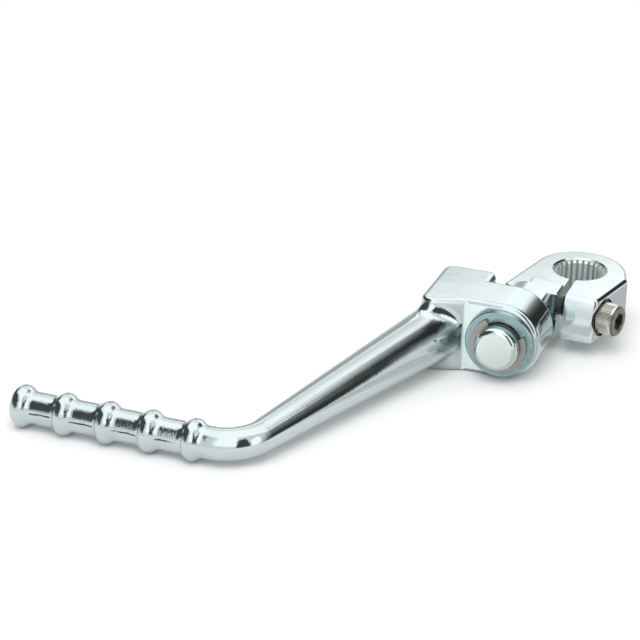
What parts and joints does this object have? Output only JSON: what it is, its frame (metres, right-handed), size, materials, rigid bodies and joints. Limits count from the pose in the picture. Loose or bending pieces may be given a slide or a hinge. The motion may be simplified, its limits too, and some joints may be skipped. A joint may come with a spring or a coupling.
{
  "type": "kick start lever",
  "caption": "Folding motorcycle kick start lever: a chromed split boss with a splined bore and pinch bolt, and a bent arm with a ribbed foot peg that swings on the boss's stud.",
  "frame": {"origin": "on the axis of the splined bore, at the middle of the boss and at the height of the stud that the lever folds on", "axes": "+Z along the bore axis, up when the folded lever lies on a table; the stud points along -Y and the folded peg along -X"},
  "size_m": [0.1534, 0.1515, 0.0244],
  "materials": {
    "chrome_plate": "polished chrome plate",
    "zinc_plate": "pale blue zinc plate",
    "spring_steel": "plain spring steel",
    "bolt_steel": "plain bright steel"
  },
  "bodies": {
    "boss": {"kick_boss": "chrome_plate", "washer": "zinc_plate", "circlip": "spring_steel", "pinch_bolt": "bolt_steel", "detent_spring": "spring_steel"},
    "lever": {"kick_lever": "chrome_plate"},
    "ball": {"detent_ball": "bolt_steel"}
  },
  "joints": [
    {"name": "fold", "type": "hinge", "parent": "boss", "child": "lever", "pos_m": [-0.0119, -0.0378, 0], "axis": [0, 1, 0], "range_deg": [0, 90]},
    {"name": "detent", "type": "slide", "parent": "boss", "child": "ball", "axis": [0, 0, 1], "range_m": [0, 0.0009], "deforming": ["detent_spring"]}
  ]
}
